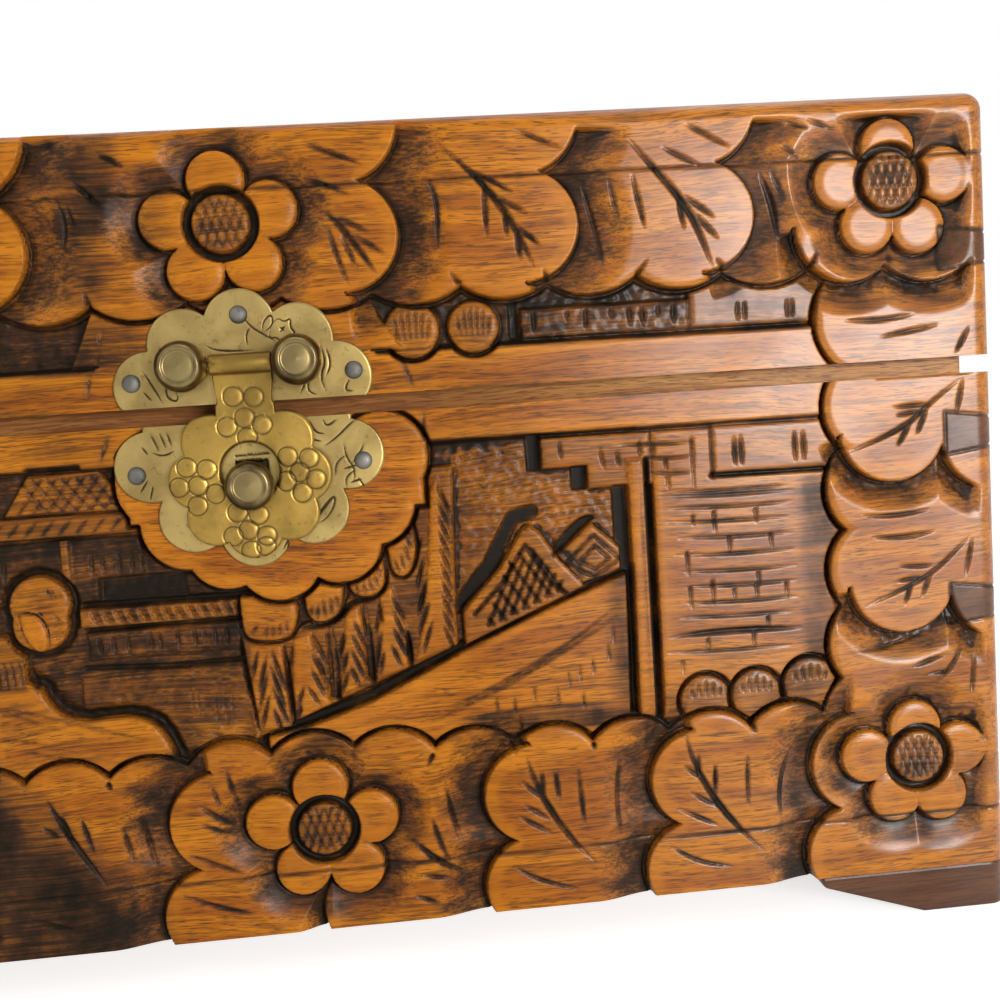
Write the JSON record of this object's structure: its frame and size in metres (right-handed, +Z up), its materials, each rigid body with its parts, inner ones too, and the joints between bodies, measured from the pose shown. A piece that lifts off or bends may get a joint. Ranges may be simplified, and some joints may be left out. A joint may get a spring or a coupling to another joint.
{
  "type": "keepsake box",
  "caption": "Carved wooden box on bracket feet, with a hinged lid, a recessed lip, a lobed brass hasp lock and a lift catch.",
  "frame": {"origin": "middle of the whole outline in plan, lock knobs and hinge barrels counted in, on the plane that the feet stand on", "axes": "+X to the right seen from the front, +Y from front to back, +Z up"},
  "size_m": [0.292, 0.1815, 0.162],
  "materials": {
    "carved_wood": "varnished, burnished dark in the carved ground",
    "lip_wood": "varnished",
    "foot_wood": "dark varnish",
    "plate_brass": "tarnished satin, engraved",
    "hasp_brass": "tarnished satin, stamped",
    "aged_bronze": "aged, worn bright on the crowns",
    "nail_steel": "dull",
    "plain_brass": "satin"
  },
  "bodies": {
    "base": {"base_front_board": "carved_wood", "base_back_board": "carved_wood", "base_left_board": "carved_wood", "base_right_board": "carved_wood", "bottom_board": "carved_wood", "front_lip_strip": "lip_wood", "back_lip_strip": "lip_wood", "left_lip_strip": "lip_wood", "right_lip_strip": "lip_wood", "foot_front_left": "foot_wood", "foot_front_right": "foot_wood", "foot_back_left": "foot_wood", "foot_back_right": "foot_wood", "lower_lock_plate": "plate_brass", "lower_plate_nails": "nail_steel", "left_hinge_base_leaf": "plain_brass", "right_hinge_base_leaf": "plain_brass", "left_hinge_pin": "plain_brass", "right_hinge_pin": "plain_brass", "hinge_base_screws": "plain_brass"},
    "lid": {"lid_top_board": "carved_wood", "lid_front_board": "carved_wood", "lid_back_board": "carved_wood", "lid_left_board": "carved_wood", "lid_right_board": "carved_wood", "upper_lock_plate": "plate_brass", "upper_plate_nails": "nail_steel", "left_hasp_post": "aged_bronze", "right_hasp_post": "aged_bronze", "hasp_pin": "plain_brass", "left_hinge_lid_leaf": "plain_brass", "right_hinge_lid_leaf": "plain_brass", "hinge_lid_screws": "plain_brass"},
    "hasp": {"hasp": "hasp_brass"},
    "catch": {"catch_knob": "aged_bronze", "catch_slider": "plain_brass"}
  },
  "joints": [
    {"name": "lid_hinge", "type": "hinge", "parent": "base", "child": "lid", "pos_m": [0, 0.08855, 0.1097], "axis": [-1, 0, 0], "range_deg": [0, 105]},
    {"name": "hasp_swing", "type": "hinge", "parent": "lid", "child": "hasp", "pos_m": [0.0012, -0.08535, 0.1185], "axis": [-1, 0, 0], "range_deg": [0, 165]},
    {"name": "catch_slide", "type": "slide", "parent": "base", "child": "catch", "axis": [0, 0, 1], "range_m": [0, 0.0024]}
  ]
}
